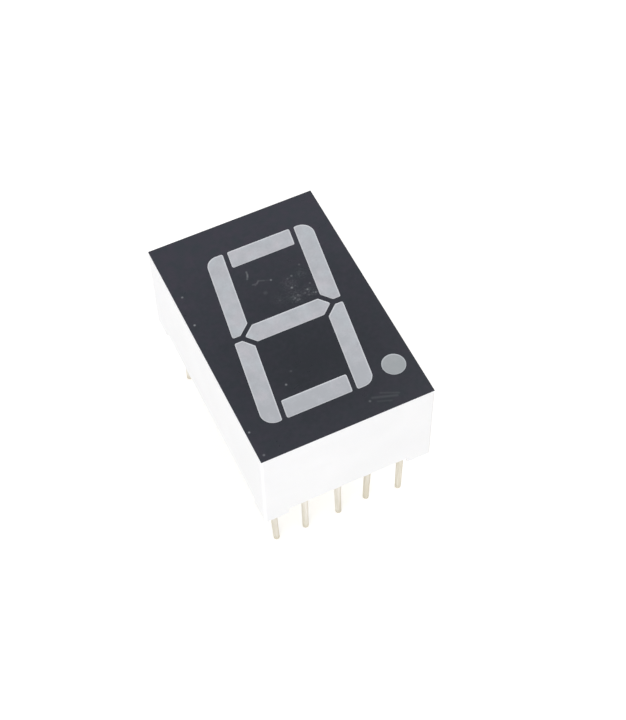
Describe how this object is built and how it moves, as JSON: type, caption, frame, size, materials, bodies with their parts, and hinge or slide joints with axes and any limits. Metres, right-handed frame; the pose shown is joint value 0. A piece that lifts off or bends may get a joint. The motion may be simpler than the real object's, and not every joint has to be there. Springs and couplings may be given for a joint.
{
  "type": "seven segment display",
  "caption": "Light emitting numeral display: an upright rectangular block with a dark flat face, slanted bar-shaped windows, a decimal point, and rows of straight round pins.",
  "frame": {"origin": "the middle of the seating plane, where the four feet of the body meet the board that carries it; the pins reach 6.5 mm below it", "axes": "+Z out of the face, +Y towards the top of the digit, +X towards the digit's right"},
  "size_m": [0.0126, 0.019, 0.0145],
  "materials": {
    "housing_plastic": "satin",
    "face_ink": "satin",
    "light_resin": "satin",
    "point_resin": "satin",
    "board_laminate": "satin",
    "copper": "satin",
    "potting_resin": "gloss",
    "chip": "gloss",
    "chip_adhesive": "satin",
    "bond_wire": "polished",
    "tinned_pin": "satin",
    "solder": "satin"
  },
  "bodies": {
    "root": {"reflector_housing": "housing_plastic", "face_ink": "face_ink", "circuit_board": "board_laminate", "front_copper": "copper", "back_copper": "copper", "rear_potting": "potting_resin", "light_fill_a": "light_resin", "light_fill_b": "light_resin", "light_fill_c": "light_resin", "light_fill_d": "light_resin", "light_fill_e": "light_resin", "light_fill_f": "light_resin", "light_fill_g": "light_resin", "light_fill_point": "point_resin", "chip_a": "chip", "chip_b": "chip", "chip_c": "chip", "chip_d": "chip", "chip_e": "chip", "chip_f": "chip", "chip_g": "chip", "chip_point": "chip", "chip_adhesive_a": "chip_adhesive", "chip_adhesive_b": "chip_adhesive", "chip_adhesive_c": "chip_adhesive", "chip_adhesive_d": "chip_adhesive", "chip_adhesive_e": "chip_adhesive", "chip_adhesive_f": "chip_adhesive", "chip_adhesive_g": "chip_adhesive", "chip_adhesive_point": "chip_adhesive", "bond_wire_a": "bond_wire", "bond_wire_b": "bond_wire", "bond_wire_c": "bond_wire", "bond_wire_d": "bond_wire", "bond_wire_e": "bond_wire", "bond_wire_f": "bond_wire", "bond_wire_g": "bond_wire", "bond_wire_point": "bond_wire", "pin_1": "tinned_pin", "pin_2": "tinned_pin", "pin_3": "tinned_pin", "pin_4": "tinned_pin", "pin_5": "tinned_pin", "pin_6": "tinned_pin", "pin_7": "tinned_pin", "pin_8": "tinned_pin", "pin_9": "tinned_pin", "pin_10": "tinned_pin", "solder_joint_1": "solder", "solder_joint_2": "solder", "solder_joint_3": "solder", "solder_joint_4": "solder", "solder_joint_5": "solder", "solder_joint_6": "solder", "solder_joint_7": "solder", "solder_joint_8": "solder", "solder_joint_9": "solder", "solder_joint_10": "solder"}
  },
  "joints": []
}
